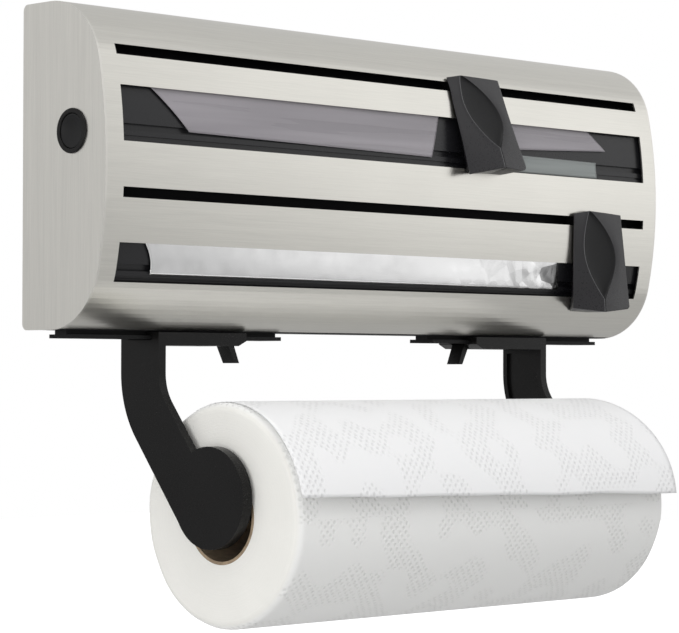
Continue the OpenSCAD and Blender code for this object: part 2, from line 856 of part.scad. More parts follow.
paper_core();
paper_tail();
film_roll();
film_core();
film_tail();
foil_roll();
foil_core();
foil_tail();
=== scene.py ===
"""Looks for a steel wall dispenser for film and foil, with a paper roll held under it.

Positions are in metres in the row frame: +X to the right, +Z up, the front faces -Y, and the wall
is the plane y = 0. Heights called z above the underside start at BASE_Z.
"""
import logging
import math
from collections.abc import Callable
from dataclasses import dataclass, field
from enum import Enum

import bmesh
import bpy
from mathutils import Matrix, Vector, noise


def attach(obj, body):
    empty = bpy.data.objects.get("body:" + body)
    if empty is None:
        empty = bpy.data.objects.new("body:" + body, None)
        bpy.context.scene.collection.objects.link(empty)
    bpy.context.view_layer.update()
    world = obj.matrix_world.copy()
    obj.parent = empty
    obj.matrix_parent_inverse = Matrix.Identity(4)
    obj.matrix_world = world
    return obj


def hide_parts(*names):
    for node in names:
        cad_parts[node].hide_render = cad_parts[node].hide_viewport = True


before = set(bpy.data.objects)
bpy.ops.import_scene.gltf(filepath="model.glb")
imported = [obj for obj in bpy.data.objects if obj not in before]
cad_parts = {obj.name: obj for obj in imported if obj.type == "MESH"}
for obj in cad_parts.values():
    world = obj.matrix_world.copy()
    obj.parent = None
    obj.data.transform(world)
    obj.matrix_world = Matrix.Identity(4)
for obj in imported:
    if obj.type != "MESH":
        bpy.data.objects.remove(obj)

log = logging.getLogger("dispenser")
BASE_Z = -0.112
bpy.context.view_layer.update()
FLOAT, VECTOR = "NodeSocketFloat", "NodeSocketVector"
WHOLE = (0.0, 1.0)
Socket = bpy.types.NodeSocket
Colour = tuple[float, float, float]


class Brushing(Enum):
    """Which way a steel face is brushed, as the stretch of its grain along X, Y and Z."""

    ALONG = (9.0, 420.0, 420.0)
    UPRIGHT = (420.0, 420.0, 9.0)
    ROUND = (160.0, 160.0, 160.0)


def tinted(colour: Colour, share: float) -> Colour:
    """Returns a darker or lighter colour, held at white."""
    return tuple(min(1.0, c * share) for c in colour)


class Tree:
    """A short way to write node trees."""

    def __init__(self, tree: bpy.types.NodeTree) -> None:
        """Keeps the tree to write to."""
        self.tree = tree

    def add(self, kind: str, **settings: object) -> bpy.types.Node:
        """Adds a node.

        Args:
            kind: the node's type name.
            settings: attributes to set, and for names starting with in_, input values.

        Returns:
            The new node.
        """
        node = self.tree.nodes.new(kind)
        for name, value in settings.items():
            if name.startswith("in_"):
                node.inputs[name[3:].replace("_", " ")].default_value = value
            else:
                setattr(node, name, value)
        return node

    def link(self, out: Socket, into: Socket) -> None:
        """Joins two sockets."""
        self.tree.links.new(out, into)

    def feed(self, into: Socket, value: object) -> None:
        """Gives an input its value.

        Args:
            into: the input.
            value: a socket to link, or the value to set.
        """
        if isinstance(value, Socket):
            self.link(value, into)
        else:
            into.default_value = value

    def math(self, operation: str, a: object, b: object = 0.0) -> Socket:
        """Adds a Math node.

        Args:
            operation: the node's operation.
            a: a socket or a number.
            b: a socket or a number.

        Returns:
            The result.
        """
        node = self.add("ShaderNodeMath", operation=operation)
        for into, value in zip(node.inputs, (a, b)):
            self.feed(into, value)
        return node.outputs[0]

    def scaled(self, vector: Socket, scale: object) -> Socket:
        """Multiplies a vector by another.

        Args:
            vector: the vector.
            scale: a socket or three numbers.

        Returns:
            The product.
        """
        node = self.add("ShaderNodeVectorMath", operation="MULTIPLY")
        for into, value in zip(node.inputs, (vector, scale)):
            self.feed(into, value)
        return node.outputs[0]

    def split(self, vector: Socket) -> tuple[Socket, Socket, Socket]:
        """Splits a vector.

        Args:
            vector: the vector.

        Returns:
            Its x, y and z.
        """
        node = self.add("ShaderNodeSeparateXYZ")
        self.link(vector, node.inputs[0])
        return node.outputs[0], node.outputs[1], node.outputs[2]

    def joined(self, x: Socket, y: Socket | None = None) -> Socket:
        """Joins numbers into a vector.

        Args:
            x: its x.
            y: its y, or none for 0.

        Returns:
            The vector.
        """
        node = self.add("ShaderNodeCombineXYZ")
        self.link(x, node.inputs["X"])
        if y is not None:
            self.link(y, node.inputs["Y"])
        return node.outputs[0]

    def noise(self, vector: Socket, scale: object, detail: float = 3.0, rough: float = 0.55) -> Socket:
        """Adds a noise texture.

        Args:
            vector: where it is read.
            scale: a socket or a number.
            detail: how many finer layers it has.
            rough: how strong the finer layers are.

        Returns:
            The noise.
        """
        node = self.add("ShaderNodeTexNoise", in_Detail=detail, in_Roughness=rough)
        self.link(vector, node.inputs["Vector"])
        self.feed(node.inputs["Scale"], scale)
        return node.outputs["Fac"]

    def cells(self, vector: Socket, scale: float, randomness: float = 1.0,
              feature: str = "F1") -> bpy.types.Node:
        """Adds a cell texture.

        Args:
            vector: where it is read.
            scale: cells to the metre.
            randomness: how far the cells are from a square grid.
            feature: what the texture measures.

        Returns:
            The node.
        """
        node = self.add("ShaderNodeTexVoronoi", feature=feature, in_Scale=scale,
                        in_Randomness=randomness)
        self.link(vector, node.inputs["Vector"])
        return node

    def ranged(self, value: Socket, source: tuple[float, float],
               target: tuple[float, float] = WHOLE) -> Socket:
        """Maps a value from one range to another, held at the ends.

        Args:
            value: the value.
            source: the range it comes from.
            target: the range it goes to.

        Returns:
            The mapped value.
        """
        node = self.add("ShaderNodeMapRange")
        self.link(value, node.inputs["Value"])
        for name, number in zip(("From Min", "From Max", "To Min", "To Max"), (*source, *target)):
            node.inputs[name].default_value = number
        return node.outputs["Result"]

    def blend(self, share: Socket, low: Socket | Colour, high: Socket | Colour) -> Socket:
        """Mixes two colours.

        Args:
            share: how much of the second one there is.
            low: the first one.
            high: the second one.

        Returns:
            The mixed colour.
        """
        node = self.add("ShaderNodeMix", data_type="RGBA")
        self.link(share, node.inputs[0])
        for into, value in zip((node.inputs[6], node.inputs[7]), (low, high)):
            self.feed(into, value if isinstance(value, Socket) else (*value, 1.0))
        return node.outputs[2]

    def bump(self, height: Socket, strength: float, distance: float) -> Socket:
        """Adds a bump.

        Args:
            height: the height that it follows.
            strength: how much of it shows.
            distance: how high it is, in metres.

        Returns:
            The normal.
        """
        node = self.add("ShaderNodeBump", in_Strength=strength, in_Distance=distance)
        self.link(height, node.inputs["Height"])
        return node.outputs["Normal"]

    def group(self, tree: bpy.types.NodeTree, **values: object) -> bpy.types.Node:
        """Places a node group.

        Args:
            tree: the group.
            values: a socket or a value for each of its inputs.

        Returns:
            The group's node.
        """
        node = self.add("ShaderNodeGroup", node_tree=tree)
        for name, value in values.items():
            self.feed(node.inputs[name], value)
        return node


def new_group(name: str, inputs: dict[str, str],
              outputs: dict[str, str]) -> tuple[Tree, bpy.types.Node, bpy.types.Node]:
    """Starts a shader node group.

    Args:
        name: the group's name.
        inputs: input names with their socket types.
        outputs: output names with their socket types.

    Returns:
        The tree, its input node and its output node.
    """
    tree = bpy.data.node_groups.new(name, "ShaderNodeTree")
    for label, kind in inputs.items():
        tree.interface.new_socket(label, in_out="INPUT", socket_type=kind)
    for label, kind in outputs.items():
        tree.interface.new_socket(label, in_out="OUTPUT", socket_type=kind)
    maker = Tree(tree)
    return maker, maker.add("NodeGroupInput"), maker.add("NodeGroupOutput")


class Effects:
    """Shader node groups that more than one material uses."""

    def __init__(self) -> None:
        """Builds each group once."""
        self.streaks = self._streaks()
        self.grain = self._grain()
        self.handling = self._handling()
        self.embossing = self._embossing()

    def _streaks(self) -> bpy.types.NodeTree:
        """Makes fine parallel scratches, as from a brushing belt.

        Returns:
            The group.
        """
        t, source, out = new_group("brushed streaks", {"Vector": VECTOR, "Stretch": VECTOR},
                                   {"Streak": FLOAT})
        stretched = t.scaled(source.outputs["Vector"], source.outputs["Stretch"])
        fine = t.noise(stretched, 4.0, 4.0, 0.7)
        broad = t.noise(stretched, 0.7, 2.0, 0.5)
        t.link(t.math("ADD", t.math("MULTIPLY", fine, 0.7), t.math("MULTIPLY", broad, 0.3)),
               out.inputs["Streak"])
        return t.tree

    def _grain(self) -> bpy.types.NodeTree:
        """Makes the fine texture of moulded plastic and of paper fibre.

        Returns:
            The group.
        """
        t, source, out = new_group("moulded grain", {"Vector": VECTOR, "Scale": FLOAT},
                                   {"Grain": FLOAT})
        t.link(t.noise(source.outputs["Vector"], source.outputs["Scale"], 2.0, 0.6),
               out.inputs["Grain"])
        return t.tree

    def _handling(self) -> bpy.types.NodeTree:
        """Makes the large soft patches that hands and cloths leave on a surface.

        Returns:
            The group.
        """
        t, source, out = new_group("handling patches", {"Vector": VECTOR}, {"Patch": FLOAT})
        patches = t.noise(source.outputs["Vector"], 14.0, 3.0, 0.5)
        t.link(t.ranged(patches, (0.35, 0.7)), out.inputs["Patch"])
        return t.tree

    def _embossing(self) -> bpy.types.NodeTree:
        """Makes small pressed dots that gather in leaf-like bands round a roll.

        Returns:
            The group, which also gives the distance from the roll's axis.
        """
        t, source, out = new_group("embossed dots",
                                   {"Vector": VECTOR, "Centre": VECTOR, "Radius": FLOAT},
                                   {"Dots": FLOAT, "Reach": FLOAT})
        offset = t.add("ShaderNodeVectorMath", operation="SUBTRACT")
        t.link(source.outputs["Vector"], offset.inputs[0])
        t.link(source.outputs["Centre"], offset.inputs[1])
        x, y, z = t.split(offset.outputs[0])
        flat = t.joined(x, t.math("MULTIPLY", t.math("ARCTAN2", z, y), source.outputs["Radius"]))
        turned = t.add("ShaderNodeMapping", in_Rotation=(0.0, 0.0, math.radians(45.0)))
        t.link(flat, turned.inputs["Vector"])
        pits = t.cells(turned.outputs["Vector"], 350.0, 0.2)
        dots = t.ranged(pits.outputs["Distance"], (0.14, 0.38), (1.0, 0.0))
        bands = t.ranged(t.noise(flat, 52.0, 0.0), (0.47, 0.54))
        t.link(t.math("MULTIPLY", dots, bands), out.inputs["Dots"])
        reach = t.math("SQRT", t.math("ADD", t.math("POWER", y, 2.0), t.math("POWER", z, 2.0)))
        t.link(reach, out.inputs["Reach"])
        return t.tree


@dataclass(frozen=True)
class Finish:
    """What every finish has: a name, a colour and a gloss."""

    name: str
    colour: Colour
    rough: float

    def start(self) -> tuple[bpy.types.Material, Tree, bpy.types.Node, Socket]:
        """Makes the material with its shader.

        Returns:
            The material, its tree, its shader node and the object coordinates.
        """
        material = bpy.data.materials.new(self.name)
        material.use_nodes = True
        tree = Tree(material.node_tree)
        shader = material.node_tree.nodes["Principled BSDF"]
        shader.inputs["Base Color"].default_value = (*self.colour, 1.0)
        shader.inputs["Roughness"].default_value = self.rough
        coordinates = tree.add("ShaderNodeTexCoord").outputs["Object"]
        return material, tree, shader, coordinates


@dataclass(frozen=True)
class BrushedSteel(Finish):
    """Stainless steel with the fine scratches of a brushing belt."""

    brushing: Brushing = Brushing.ALONG
    depth: float = 0.025

    def build(self, effects: Effects) -> bpy.types.Material:
        """Builds the material.

        Args:
            effects: the shared node groups.

        Returns:
            The material.
        """
        material, t, shader, place = self.start()
        streak = t.group(effects.streaks, Vector=place, Stretch=self.brushing.value).outputs["Streak"]
        patch = t.group(effects.handling, Vector=place).outputs["Patch"]
        t.link(t.blend(t.ranged(streak, (0.35, 0.65)), tinted(self.colour, 0.94),
                       tinted(self.colour, 1.04)), shader.inputs["Base Color"])
        rough = t.math("ADD", t.ranged(streak, (0.3, 0.7), (self.rough - 0.03, self.rough + 0.04)),
                       t.math("MULTIPLY", patch, 0.04))
        t.link(rough, shader.inputs["Roughness"])
        shader.inputs["Metallic"].default_value = 1.0
        t.link(t.bump(streak, self.depth, 0.0004), shader.inputs["Normal"])
        return material


@dataclass(frozen=True)
class MouldedPlastic(Finish):
    """Black or grey moulded plastic with a fine texture, worn a little lighter by hands."""

    grain: float = 1500.0
    depth: float = 0.12
    shine: float = 0.22

    def build(self, effects: Effects) -> bpy.types.Material:
        """Builds the material.

        Args:
            effects: the shared node groups.

        Returns:
            The material.
        """
        material, t, shader, place = self.start()
        grain = t.group(effects.grain, Vector=place, Scale=self.grain).outputs["Grain"]
        patch = t.group(effects.handling, Vector=place).outputs["Patch"]
        worn = tuple(c * 1.35 + 0.004 for c in self.colour)
        t.link(t.blend(t.math("MULTIPLY", patch, 0.5), self.colour, worn),
               shader.inputs["Base Color"])
        t.link(t.math("ADD", t.ranged(grain, (0.3, 0.7), (self.rough - 0.06, self.rough + 0.06)),
                      t.math("MULTIPLY", patch, 0.07)), shader.inputs["Roughness"])
        shader.inputs["Specular IOR Level"].default_value = self.shine
        t.link(t.bump(grain, self.depth, 0.0002), shader.inputs["Normal"])
        return material


@dataclass(frozen=True)
class KitchenPaper(Finish):
    """Soft white paper with pressed dots that are painted darker as painted shade in the pits, and its
    wound layers where the end of a roll shows.
    """

    centre: tuple[float, float, float] = (0.0, 0.0, 0.0)
    radius: float = 0.05
    layered: bool = False
    layers: float = 2600.0

    def build(self, effects: Effects) -> bpy.types.Material:
        """Builds the material.

        Args:
            effects: the shared node groups.

        Returns:
            The material.
        """
        material, t, shader, place = self.start()
        pressed = t.group(effects.embossing, Vector=place, Centre=self.centre, Radius=self.radius)
        dots, reach = pressed.outputs["Dots"], pressed.outputs["Reach"]
        fibre = t.group(effects.grain, Vector=place, Scale=900.0).outputs["Grain"]
        outside = t.ranged(reach, (self.radius - 0.0024, self.radius - 0.0008))
        if self.layered:
            dots = t.math("MULTIPLY", dots, outside)
        # The dots are painted darker: painted shade in the pressed pits, on top of their bump.
        look = t.blend(t.math("MULTIPLY", dots, 0.6), self.colour, tinted(self.colour, 0.86))
        height = t.math("MULTIPLY", dots, -1.0)
        if self.layered:
            ends = t.math("SUBTRACT", 1.0, outside)
            rings = t.noise(t.joined(t.math("MULTIPLY", reach, self.layers)), 1.0, 3.0, 0.6)
            cream = (self.colour[0] * 0.985, self.colour[1] * 0.975, self.colour[2] * 0.945)
            face = t.blend(t.ranged(rings, (0.3, 0.7)), cream, tinted(cream, 0.93))
            look = t.blend(ends, look, face)
            height = t.math("ADD", height, t.math("MULTIPLY", t.math("MULTIPLY", rings, ends), 0.35))
        t.link(look, shader.inputs["Base Color"])
        height = t.math("ADD", height, t.math("MULTIPLY", fibre, 0.25))
        shader.inputs["Sheen Weight"].default_value = 0.15
        shader.inputs["Specular IOR Level"].default_value = 0.25
        t.link(t.bump(height, 0.55, 0.0006), shader.inputs["Normal"])
        return material


@dataclass(frozen=True)
class Cardboard(Finish):
    """Grey-brown core board with a slanting wound seam."""

    def build(self) -> bpy.types.Material:
        """Builds the material.

        Returns:
            The material.
        """
        material, t, shader, place = self.start()
        fibre = t.noise(t.scaled(place, (160.0, 420.0, 420.0)), 1.0, 4.0, 0.65)
        wave = t.add("ShaderNodeTexWave", bands_direction="DIAGONAL", in_Scale=7.0,
                     in_Distortion=0.6)
        t.link(place, wave.inputs["Vector"])
        seam = t.ranged(wave.outputs["Fac"], (0.94, 1.0), (0.0, 0.7))
        dark = tinted(self.colour, 0.72)
        board = t.blend(t.ranged(fibre, (0.3, 0.7)), dark, tinted(self.colour, 1.2))
        t.link(t.blend(seam, board, dark), shader.inputs["Base Color"])
        t.link(t.bump(fibre, 0.3, 0.0003), shader.inputs["Normal"])
        return material


@dataclass(frozen=True)
class ClingFilm(Finish):
    """Clear film that shows as a pale veil with soft wrinkles, whose crests are painted lighter as
    painted highlight.
    """

    veil: tuple[float, float] = (0.45, 0.7)

    def build(self) -> bpy.types.Material:
        """Builds the material.

        Returns:
            The material.
        """
        material, t, shader, place = self.start()
        fold = t.noise(t.scaled(place, (7.0, 90.0, 190.0)), 1.0, 2.0, 0.5)
        broad = t.noise(t.scaled(place, (5.0, 30.0, 45.0)), 1.0, 1.0, 0.5)
        # Wrinkle crests are painted up to 1.3 times lighter: painted highlight on the folds.
        t.link(t.blend(t.ranged(fold, (0.4, 0.75)), self.colour, tinted(self.colour, 1.3)),
               shader.inputs["Base Color"])
        t.link(t.ranged(broad, (0.35, 0.65), self.veil), shader.inputs["Alpha"])
        t.link(t.ranged(fold, (0.3, 0.7), (self.rough, self.rough + 0.15)),
               shader.inputs["Roughness"])
        t.link(t.bump(fold, 0.35, 0.0008), shader.inputs["Normal"])
        return material


@dataclass(frozen=True)
class Foil(Finish):
    """Bright aluminium foil, smooth where it is taut and creased to the right, where it is loose;
    towards its right end patches are painted nearly black as painted shade in the crumples.
    """

    crease: float = 0.25
    loose: tuple[float, float] = (0.03, 0.11)
    crumple_shade_span: tuple[float, float] = (0.075, 0.112)

    def build(self) -> bpy.types.Material:
        """Builds the material.

        Returns:
            The material.
        """
        material, t, shader, place = self.start()
        to_right = t.split(place)[0]
        rolled = t.noise(t.scaled(place, (22.0, 160.0, 160.0)), 1.0, 2.0, 0.5)
        facets = t.cells(place, 70.0, feature="DISTANCE_TO_EDGE").outputs["Distance"]
        folds = t.math("MULTIPLY", t.ranged(facets, (0.0, 0.25)),
                       t.ranged(to_right, self.loose, (0.03, 1.0)))
        height = t.math("ADD", t.math("MULTIPLY", rolled, 0.08), folds)
        shine = t.noise(place, 120.0, 2.0, 0.5)
        t.link(t.ranged(shine, (0.3, 0.7), (self.rough, self.rough + 0.12)),
               shader.inputs["Roughness"])
        flat = t.blend(t.ranged(shine, (0.35, 0.65)), tinted(self.colour, 0.94), self.colour)
        # Painted shade: towards the right end, cell patches are darkened to nearly black, standing in
        # for shade in the crumpled foil.
        tone = t.add("ShaderNodeSeparateColor")
        t.link(t.cells(t.scaled(place, (95.0, 60.0, 150.0)), 1.0).outputs["Color"], tone.inputs[0])
        shadowed = t.math("MULTIPLY", t.ranged(tone.outputs["Red"], (0.35, 0.75)),
                          t.ranged(to_right, self.crumple_shade_span, (0.0, 0.97)))
        t.link(t.blend(shadowed, flat, tinted(self.colour, 0.12)), shader.inputs["Base Color"])
        shader.inputs["Metallic"].default_value = 1.0
        t.link(t.bump(height, self.crease, 0.0012), shader.inputs["Normal"])
        return material


@dataclass(frozen=True)
class Skin:
    """Outline of the body's front: a long shallow curve joined to the top and underside."""

    height: float = 0.147
    depth: float = 0.059
    front_r: float = 0.217
    corner_r: float = 0.034

    def y(self, z: float) -> float:
        """Finds the front's outer face.

        Args:
            z: a height above the underside.

        Returns:
            y of the face at that height.
        """
        mid = self.height / 2
        rise = mid - self.corner_r
        centre = self.front_r - self.depth
        corner = centre - math.sqrt((self.front_r - self.corner_r) ** 2 - rise ** 2)
        angle = math.atan2(rise, centre - corner)
        off = abs(z - mid)
        if off <= self.front_r * math.sin(angle):
            return centre - math.sqrt(self.front_r ** 2 - off ** 2)
        return corner - math.sqrt(max(0.0, self.corner_r ** 2 - (off - rise) ** 2))


SKIN = Skin()


def mix(a: float, b: float, share: float) -> float:
    """Returns the number a share of the way from a to b."""
    return a + (b - a) * share


def smooth_step(x: float) -> float:
    """Returns a soft step from 0 to 1."""
    x = min(1.0, max(0.0, x))
    return x * x * (3 - 2 * x)


def finish_mesh(name: str, bm: bmesh.types.BMesh, *materials: bpy.types.Material,
                crease: float = 35.0, merge: float = 1e-6) -> bpy.types.Object:
    """Turns a bmesh into a shaded object at the origin.

    Args:
        name: the piece's name.
        bm: the mesh, which is freed.
        materials: its materials.
        crease: edges sharper than this many degrees stay crisp.
        merge: how close doubles are merged.

    Returns:
        The object.
    """
    bmesh.ops.remove_doubles(bm, verts=bm.verts, dist=merge)
    bmesh.ops.recalc_face_normals(bm, faces=bm.faces)
    mesh = bpy.data.meshes.new(name)
    bm.to_mesh(mesh)
    bm.free()
    for material in materials:
        mesh.materials.append(material)
    mesh.polygons.foreach_set("use_smooth", [True] * len(mesh.polygons))
    mesh.set_sharp_from_angle(angle=math.radians(crease))
    obj = bpy.data.objects.new(name, mesh)
    bpy.context.scene.collection.objects.link(obj)
    return obj


def ride(obj: bpy.types.Object, body: str, slot: str, *stands_for: str) -> None:
    """Puts a new piece on its body and reports it.

    Args:
        obj: the piece.
        body: the body that carries it.
        slot: its material slot; not used.
        stands_for: the CAD nodes that it replaces.
    """
    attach(obj, body)
    if stands_for:
        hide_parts(*stands_for)
    log.info("%s: %d faces, on %s", obj.name, len(obj.data.polygons), body)


def thicken(obj: bpy.types.Object, label: str, gauge: float) -> None:
    """Gives a flat piece its thickness, half on each side.

    Args:
        obj: the piece.
        label: the modifier's name.
        gauge: the thickness.
    """
    solid = obj.modifiers.new(label, "SOLIDIFY")
    solid.thickness = gauge
    solid.offset = 0.0


def shaped_grid(columns: int, rows: int, place: Callable[[float, float], Vector],
                zone: Callable[[float, float], int] | None = None,
                bm: bmesh.types.BMesh | None = None) -> bmesh.types.BMesh:
    """Makes a grid and moves each of its points.

    Args:
        columns: cells across.
        rows: cells down.
        place: gives a point from two shares, each 0 to 1.
        zone: gives a face's material number from the shares of its middle.
        bm: the mesh to add the grid to, or a new one.

    Returns:
        The mesh.
    """
    bm = bm or bmesh.new()
    verts = bmesh.ops.create_grid(bm, x_segments=columns, y_segments=rows, size=0.5)["verts"]
    if zone:
        for face in bm.faces:
            middle = face.calc_center_median()
            face.material_index = zone(middle.x + 0.5, middle.y + 0.5)
    for vert in verts:
        vert.co = place(vert.co.x + 0.5, vert.co.y + 0.5)
    return bm


def spun(profile: list[tuple[float, float]], axis_at: Vector, steps: int) -> bmesh.types.BMesh:
    """Spins a closed profile of (x, radius) points round an axis along X.

    Args:
        profile: points of the closed outline.
        axis_at: a point on the axis.
        steps: faces in a full turn.

    Returns:
        The mesh.
    """
    bm = bmesh.new()
    verts = [bm.verts.new((x, axis_at.y, axis_at.z + r)) for x, r in profile]
    edges = [bm.edges.new((a, b)) for a, b in zip(verts, verts[1:] + verts[:1])]
    bmesh.ops.spin(bm, geom=verts + edges, cent=axis_at, axis=(1, 0, 0), angle=2 * math.pi,
                   steps=steps, use_merge=True)
    return bm


@dataclass
class Softened:
    """A copy of a hard CAD node with its edges rounded as a moulding's or a deburred sheet's are."""

    node: str
    radius: float
    material: bpy.types.Material
    body: str
    slot: str
    crease: float = 30.0
    segments: int = 2

    def build(self) -> None:
        """Builds the copy with a live bevel and hides the node."""
        bm = bmesh.new()
        bm.from_mesh(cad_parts[self.node].data)
        bmesh.ops.remove_doubles(bm, verts=bm.verts, dist=2e-6)
        bmesh.ops.dissolve_limit(bm, angle_limit=math.radians(0.6), verts=bm.verts, edges=bm.edges)
        obj = finish_mesh(f"{self.node}_finished", bm, self.material, crease=self.crease, merge=1e-7)
        bevel = obj.modifiers.new("rounded edges", "BEVEL")
        bevel.width = self.radius
        bevel.segments = self.segments
        bevel.limit_method = "ANGLE"
        bevel.angle_limit = math.radians(self.crease)
        bevel.harden_normals = True
        ride(obj, self.body, self.slot, self.node)


@dataclass(frozen=True)
class Slant:
    """How far the left edge, the ridge and the right edge of an outline stand above a level."""

    left: float
    ridge: float
    right: float

    def at(self, u: float, ridge_u: float, width: float) -> float:
        """Finds the rise at one place.

        Args:
            u: distance from the left edge.
            ridge_u: the ridge's distance from it.
            width: the right edge's distance from it.

        Returns:
            The rise.
        """
        if u < ridge_u:
            return mix(self.left, self.ridge, u / ridge_u)
        return mix(self.ridge, self.right, (u - ridge_u) / (width - ridge_u))


@dataclass(frozen=True)
class Edge:
    """How far an edge of a cutter stands off the sheet: at the top, at the foot and at least.

    The foot is a share of how far the cutter's foot stands proud.
    """

    top: float
    foot: float
    least: float


@dataclass
class Cutter:
    """A sliding cutter: a wedge with a ridge, and an almond scoop for a finger cut across it.

    A length called u is measured from the left edge. A share is 0 at the top and 1 at the foot.
    """

    level: str
    x: float
    slot_z: float
    drop: float
    proud: float
    tip_u: float
    seam_u: float
    end_u: float
    scoop_end: float
    crown: Slant
    foot: Slant
    corner_r: float
    left: Edge = Edge(0.0017, 0.55, 0.0006)
    ridge: Edge = Edge(0.003, 1.0, 0.0016)
    right: Edge = Edge(0.0025, 1.0, 0.0012)
    width: float = 0.0374
    lean: float = 0.003
    above: float = 0.0045
    off: float = 0.0007
    scoop_left: float = 0.0073
    scoop_right: float = 0.0146
    seam_left: float = 0.0002
    seam_right: float = 0.0004
    dish: float = 0.0011
    lip: float = 0.0005
    lip_proud: float = 0.00018
    swell: float = 0.0004
    crown_reach: float = 0.4
    splay_left: float = 0.95
    splay_right: float = -0.3
    tuck_from: float = 0.93
    tuck_below: float = 0.0006
    tuck: float = 0.8
    round_over: float = 0.0008
    columns: tuple[int, int, int, int] = (8, 2, 16, 12)
    rows: int = 64

    def _level(self, share: float) -> float:
        """Returns the height above the underside at a share of the way down."""
        return mix(self.slot_z + self.above, self.slot_z - self.drop, share)

    def _edge_y(self, edge: Edge, share: float) -> float:
        """Finds one of the wedge's three edges.

        Args:
            edge: the edge.
            share: how far down.

        Returns:
            y of the edge.
        """
        top = SKIN.y(self.slot_z + self.above) - edge.top
        foot = SKIN.y(self.slot_z - self.drop) - edge.foot * self.proud
        back = SKIN.y(self._level(share)) - self.off
        return min(mix(top, foot, share), back - edge.least)

    def _right_edge(self, share: float) -> float:
        """Finds the right edge, which is rounded off at the foot.

        Args:
            share: how far down.

        Returns:
            u of the edge.
        """
        short = self.corner_r - (1 - share) * (self.above + self.drop)
        if short <= 0:
            return self.width
        return self.width - (self.corner_r - math.sqrt(self.corner_r ** 2 - short ** 2))

    def _outline(self, share: float) -> tuple[float, float, float]:
        """Finds the ridge and the scoop.

        Args:
            share: how far down.

        Returns:
            u of the ridge, and of the scoop's left and right sides.
        """
        part = share / self.scoop_end
        if part >= 1:
            ridge = mix(self.seam_u, self.end_u, (share - self.scoop_end) / (1 - self.scoop_end))
            return ridge, ridge - self.seam_left, ridge + self.seam_right
        ridge = mix(self.tip_u, self.seam_u, part)
        left = ridge - self.seam_left - self.scoop_left * math.sin(math.pi * part) ** 0.9
        right = ridge + self.seam_right + self.scoop_right * math.sin(math.pi * part ** 0.85)
        return ridge, left, right

    def _facet(self, u: float, share: float, ridge_u: float) -> float:
        """Finds the wedge's front before the scoop is cut.

        Args:
            u: how far across.
            share: how far down.
            ridge_u: u of the ridge there.

        Returns:
            y of the front.
        """
        ridge = self._edge_y(self.ridge, share)
        if u < ridge_u:
            return mix(self._edge_y(self.left, share), ridge, u / ridge_u)
        right = self._edge_y(self.right, share)
        return mix(ridge, right, (u - ridge_u) / (self.width - ridge_u))

    def _front(self, across: float, up: float) -> Vector:
        """Finds a point of the front, over its four strips: facet, lip, scoop and facet.

        Args:
            across: share of the columns from the left.
            up: share of the rows from the foot.

        Returns:
            The point.
        """
        share = 1.0 - up
        a, lip, b, c = self.columns
        place = across * (a + lip + b + c)
        ridge_u, near, far = self._outline(share)
        if place <= a:
            u = (near - self.lip) * place / a
            y = self._facet(u, share, ridge_u)
        elif place < a + lip:
            u = near - self.lip * (1 - (place - a) / lip)
            y = self._facet(u, share, ridge_u) - self.lip_proud
        elif place <= a + lip + b:
            part = (place - a - lip) / b
            u = mix(near, far, part)
            y = mix(self._facet(near, share, ridge_u), self._facet(far, share, ridge_u), part)
            y += min(self.dish, 0.3 * (far - near)) * math.sqrt(4 * part * (1 - part))
        else:
            part = (place - a - lip - b) / c
            u = mix(far, self._right_edge(share), part)
            y = self._facet(u, share, ridge_u) - self.swell * math.sin(math.pi * part)
        z = self._level(share)
        z += self.crown.at(u, ridge_u, self.width) * smooth_step(1 - share / self.crown_reach)
        z += self.foot.at(u, ridge_u, self.width) * smooth_step((share - 0.6) / 0.4)
        return Vector((self.x - self.width / 2 + u + self.lean * share, y, z + BASE_Z))

    def _behind(self, spot: Vector) -> Vector:
        """Finds the point of the back, just off the sheet, for one of the front.

        Args:
            spot: the point of the front.

        Returns:
            The point of the back. Near the foot it is drawn under, below the sheet's slot.
        """
        z = spot.z - BASE_Z
        if (self.slot_z + self.above - z) / (self.above + self.drop) > self.tuck_from:
            z = mix(z, self.slot_z - self.drop - self.tuck_below, self.tuck)
        deep = SKIN.y(z) - self.off - spot.y
        to_right = (spot.x - self.x) / self.width + 0.5
        out = mix(self.splay_left, self.splay_right, to_right) * deep
        return Vector((spot.x + out, spot.y + deep, z + BASE_Z))

    def _zone(self, across: float, up: float) -> int:
        """Tells the material of a face.

        Args:
            across: share of the columns from the left.
            up: share of the rows from the foot.

        Returns:
            1 in the scoop and its seam, 2 on the lip left of it, which carries a painted highlight,
            and 0 elsewhere.
        """
        a, lip, b, c = self.columns
        place = across * (a + lip + b + c)
        if a < place < a + lip:
            return 2
        return 1 if a + lip < place < a + lip + b else 0

    def build(self, *materials: bpy.types.Material) -> None:
        """Builds the moulding with its grip.

        Args:
            materials: those of the shell, the scoop, and the lip's painted highlight.
        """
        bm = shaped_grid(sum(self.columns), self.rows, self._front, self._zone)
        rim = [e for e in bm.edges if e.is_boundary]
        grown = bmesh.ops.extrude_edge_only(bm, edges=rim)["geom"]
        for vert in [g for g in grown if isinstance(g, bmesh.types.BMVert)]:
            vert.co = self._behind(vert.co)
        shaped_grid(sum(self.columns), self.rows,
                    lambda across, up: self._behind(self._front(across, up)), bm=bm)
        bmesh.ops.remove_doubles(bm, verts=bm.verts, dist=1e-6)
        bmesh.ops.recalc_face_normals(bm, faces=bm.faces)
        bmesh.ops.bevel(bm, geom=rim, offset=self.round_over, offset_type="OFFSET",
                        affect="EDGES", segments=3, profile=0.5, material=-1, clamp_overlap=True)
        ride(finish_mesh(f"cutter_{self.level}_moulding", bm, *materials, crease=20.0),
             f"cutter_{self.level}", "dark_grey", f"cutter_{self.level}_body",
             f"cutter_{self.level}_grip")


